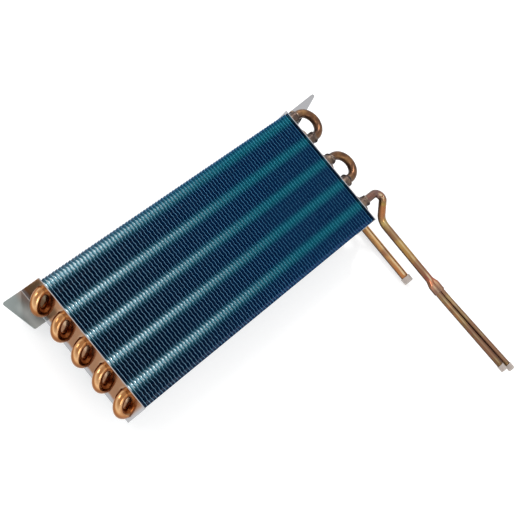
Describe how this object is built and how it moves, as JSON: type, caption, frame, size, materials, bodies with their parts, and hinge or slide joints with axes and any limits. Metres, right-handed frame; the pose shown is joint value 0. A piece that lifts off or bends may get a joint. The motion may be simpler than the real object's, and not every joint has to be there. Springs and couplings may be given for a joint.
{
  "type": "condenser coil",
  "caption": "Finned-tube condenser coil with folded end plates, brazed copper return bends and long capped connecting pipes at one corner.",
  "frame": {"origin": "middle of the back face of the mounting tab on the left end plate", "axes": "+X along the tubes, from the hairpins to the return bends; +Y up the stack of tubes, away from the long pipes; +Z out of the front face"},
  "size_m": [0.3163, 0.2691, 0.0399],
  "materials": {
    "plate_steel": "galvanised sheet, satin",
    "fin_coating": "blue coated aluminium foil, satin",
    "copper_hairpin": "bright copper",
    "copper_bend": "copper tarnished by brazing",
    "braze": "dull brazing filler",
    "copper_pipe": "copper with heat tints",
    "copper_tail": "dull brown copper",
    "plug_plastic": "milky soft plastic"
  },
  "bodies": {
    "root": {"left_end_plate": "plate_steel", "right_end_plate": "plate_steel", "fins": "fin_coating", "hairpin_1": "copper_hairpin", "hairpin_2": "copper_hairpin", "hairpin_3": "copper_hairpin", "hairpin_4": "copper_hairpin", "hairpin_5": "copper_hairpin", "front_return_bend_1": "copper_bend", "front_return_bend_2": "copper_bend", "back_return_bend_1": "copper_bend", "back_return_bend_2": "copper_bend", "braze_rings": "braze", "inlet_pipe": "copper_pipe", "outlet_pipe": "copper_pipe", "outlet_tail_near": "copper_tail", "outlet_tail_far": "copper_tail", "inlet_plug": "plug_plastic", "outlet_plug_near": "plug_plastic", "outlet_plug_far": "plug_plastic"}
  },
  "joints": []
}
